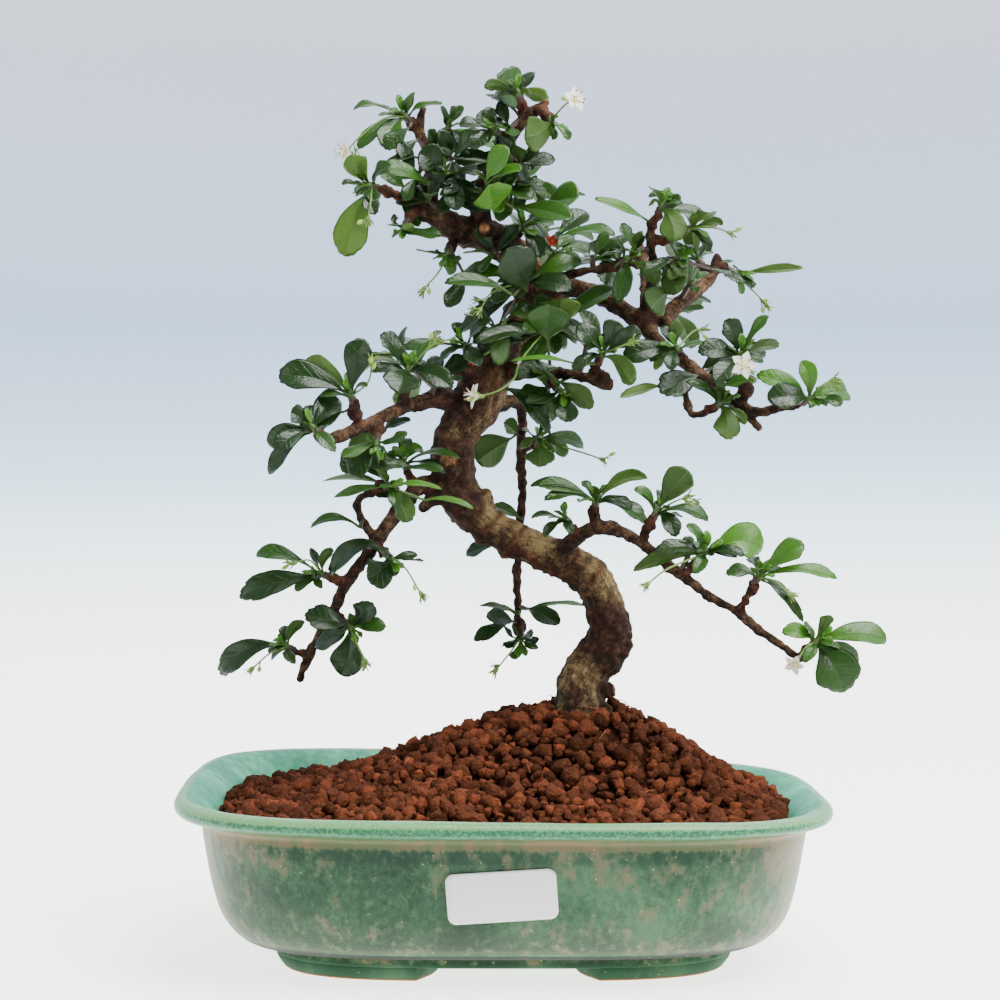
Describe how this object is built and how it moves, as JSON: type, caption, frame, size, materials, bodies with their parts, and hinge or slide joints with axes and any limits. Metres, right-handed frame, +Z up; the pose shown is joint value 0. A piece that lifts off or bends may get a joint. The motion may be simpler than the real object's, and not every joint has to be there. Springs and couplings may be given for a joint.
{
  "type": "fukien tea bonsai in a glazed pot",
  "caption": "Fukien tea bonsai with a bent trunk, leaf rosettes and small white flowers, in an oblong green glazed pot filled with soil.",
  "frame": {"origin": "middle of the base of the part's box, on the surface the feet stand on", "axes": "+Z up, -Y towards the viewer of the picture, the front long side of the pot; +X to the right"},
  "size_m": [0.2548, 0.194, 0.3291],
  "materials": {
    "glaze": "mottled glossy glaze",
    "soil": "dry granular soil",
    "bark": "rough scarred bark",
    "leaf": "glossy leaf",
    "petal": "matt petal",
    "label": "blank matt paper",
    "screen": "plastic net"
  },
  "bodies": {
    "root": {"pot": "glaze", "soil": "soil", "drain_screen_left": "screen", "drain_screen_right": "screen", "label": "label", "wood": "bark", "leaves_crown_left_tip": "leaf", "leaves_crown_left_side": "leaf", "leaves_left_top": "leaf", "leaves_left_crook": "leaf", "leaves_left_under": "leaf", "leaves_left_hanging": "leaf", "leaves_crown_top": "leaf", "leaves_crown_right": "leaf", "leaves_crown_dark": "leaf", "leaves_crown_bright": "leaf", "leaves_crown_notched": "leaf", "leaves_neck": "leaf", "leaves_neck_right": "leaf", "leaves_heart": "leaf", "leaves_heart_low": "leaf", "leaves_burl": "leaf", "leaves_right_peak": "leaf", "leaves_right_peak_outer": "leaf", "leaves_right_round": "leaf", "leaves_right_outer": "leaf", "leaves_right_outer_inside": "leaf", "leaves_right_inside": "leaf", "leaves_right_twig_end": "leaf", "leaves_right_bend": "leaf", "leaves_right_shoulder": "leaf", "leaves_right_hook": "leaf", "leaves_right_tip": "leaf", "leaves_middle_end": "leaf", "leaves_middle_under": "leaf", "leaves_left_limb_top": "leaf", "leaves_left_limb_end": "leaf", "leaves_left_limb_base": "leaf", "leaves_left_limb_under": "leaf", "leaves_left_fork": "leaf", "leaves_left_twig": "leaf", "leaves_left_elbow": "leaf", "leaves_left_drop": "leaf", "leaves_left_low": "leaf", "leaves_left_end": "leaf", "leaves_behind_top": "leaf", "leaves_behind_low": "leaf", "leaves_low_right_base": "leaf", "leaves_low_right_under": "leaf", "leaves_low_right_arch": "leaf", "leaves_low_right_middle": "leaf", "leaves_low_right_outer": "leaf", "leaves_low_right_end": "leaf", "leaves_back_crown": "leaf", "leaves_back_left": "leaf", "leaves_back_right": "leaf", "flower_far_left": "petal", "flower_crown": "petal", "flower_middle": "petal", "flower_right": "petal"}
  },
  "joints": []
}
